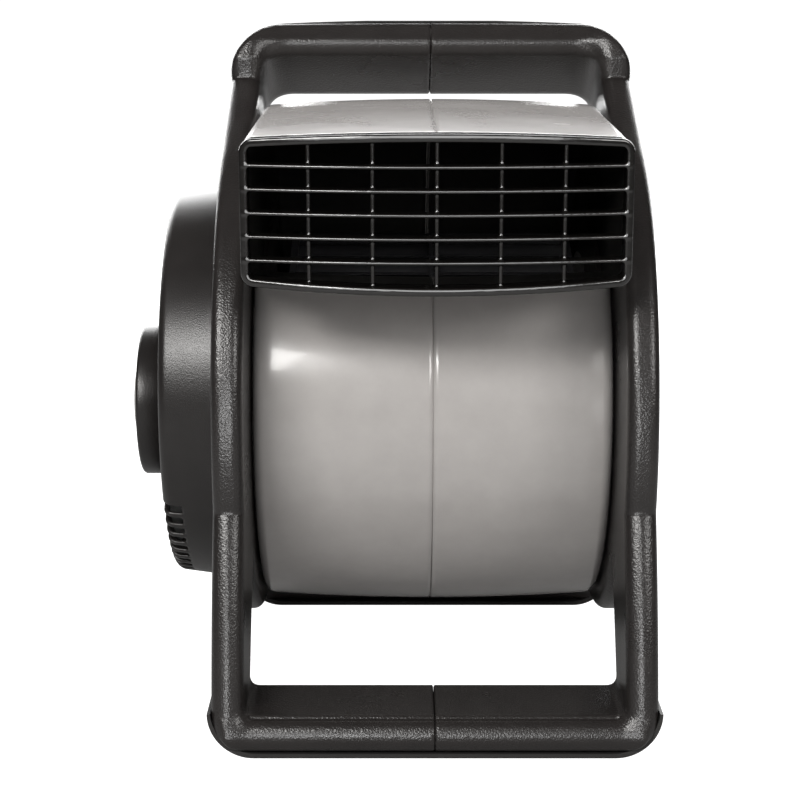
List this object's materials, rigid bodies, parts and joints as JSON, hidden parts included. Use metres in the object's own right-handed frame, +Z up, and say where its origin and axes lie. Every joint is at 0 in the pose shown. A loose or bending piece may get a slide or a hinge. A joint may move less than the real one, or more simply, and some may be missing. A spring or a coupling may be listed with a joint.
{
  "type": "pivoting air mover",
  "caption": "Pivoting centrifugal air mover: grey scroll and wide grilled nozzle tilting in a black carry stand, with a side motor cover and speed dial.",
  "frame": {"origin": "middle of the underside of the front foot strip, on the floor", "axes": "+Z up, +Y to the back, +X to the right seen from the front; the nozzle faces -Y"},
  "size_m": [0.3845, 0.462, 0.4579],
  "materials": {
    "frame_black": "textured satin moulding",
    "cover_black": "fine-grain satin moulding",
    "housing_grey": "gloss moulding",
    "grille_black": "gloss moulding",
    "dial_silver": "satin silver moulding",
    "foot_rubber": "matt",
    "zinc_steel": "zinc plated",
    "motor_steel": "satin paint",
    "cast_alloy": "as cast",
    "copper_stack": "varnished laminations",
    "wheel_black": "satin",
    "felt": "felt",
    "cap_grey": "gloss",
    "cord_black": "satin",
    "receptacle_black": "gloss",
    "breaker_red": "gloss"
  },
  "bodies": {
    "stand": {"frame_left": "frame_black", "frame_right": "frame_black", "front_foot_strip": "foot_rubber", "rear_foot_strip": "foot_rubber", "handle_band": "foot_rubber", "joiner_handle": "frame_black", "joiner_front": "frame_black", "joiner_rear": "frame_black", "joiner_screws": "zinc_steel", "friction_ring_left": "felt", "friction_ring_right": "felt", "motor_cover": "cover_black", "cover_screws": "zinc_steel", "control_hub": "cover_black", "outlet_panel": "cover_black", "receptacles": "receptacle_black", "breaker_body": "receptacle_black", "rotary_switch": "receptacle_black", "motor_can": "motor_steel", "end_bell_outer": "cast_alloy", "end_bell_inner": "cast_alloy", "stator_core": "copper_stack", "motor_spider": "motor_steel", "motor_grommets": "foot_rubber", "spider_screws": "zinc_steel", "bearing_outer": "zinc_steel", "bearing_inner": "zinc_steel", "capacitor": "cap_grey", "capacitor_strap": "zinc_steel", "intake_guard": "cover_black", "guard_cap": "cover_black", "guard_screws": "zinc_steel", "cord_hooks": "cover_black", "strain_relief": "foot_rubber", "power_cord": "cord_black", "power_plug": "cord_black"},
    "blower_head": {"scroll_left": "housing_grey", "scroll_right": "housing_grey", "nozzle_grille": "grille_black", "pivot_ring_left": "cover_black", "pivot_ring_right": "cover_black", "scroll_screws": "zinc_steel"},
    "rotor": {"motor_shaft": "zinc_steel", "rotor_core": "motor_steel", "blower_wheel": "wheel_black", "wheel_hub": "cast_alloy", "set_screw": "zinc_steel"},
    "dial": {"speed_dial": "dial_silver", "dial_shaft": "zinc_steel"},
    "breaker": {"breaker_button": "breaker_red"}
  },
  "joints": [
    {"name": "head_tilt", "type": "hinge", "parent": "stand", "child": "blower_head", "pos_m": [0, 0.2175, 0.187], "axis": [1, 0, 0], "range_deg": [-20, 60]},
    {"name": "rotor_spin", "type": "hinge", "parent": "stand", "child": "rotor", "pos_m": [0, 0.2175, 0.187], "axis": [1, 0, 0], "continuous": true},
    {"name": "dial_turn", "type": "hinge", "parent": "stand", "child": "dial", "pos_m": [-0.213, 0.2175, 0.1805], "axis": [-1, 0, 0], "range_deg": [0, 135]},
    {"name": "breaker_press", "type": "slide", "parent": "stand", "child": "breaker", "axis": [1, 0, 0], "range_m": [0, 0.0025]}
  ]
}
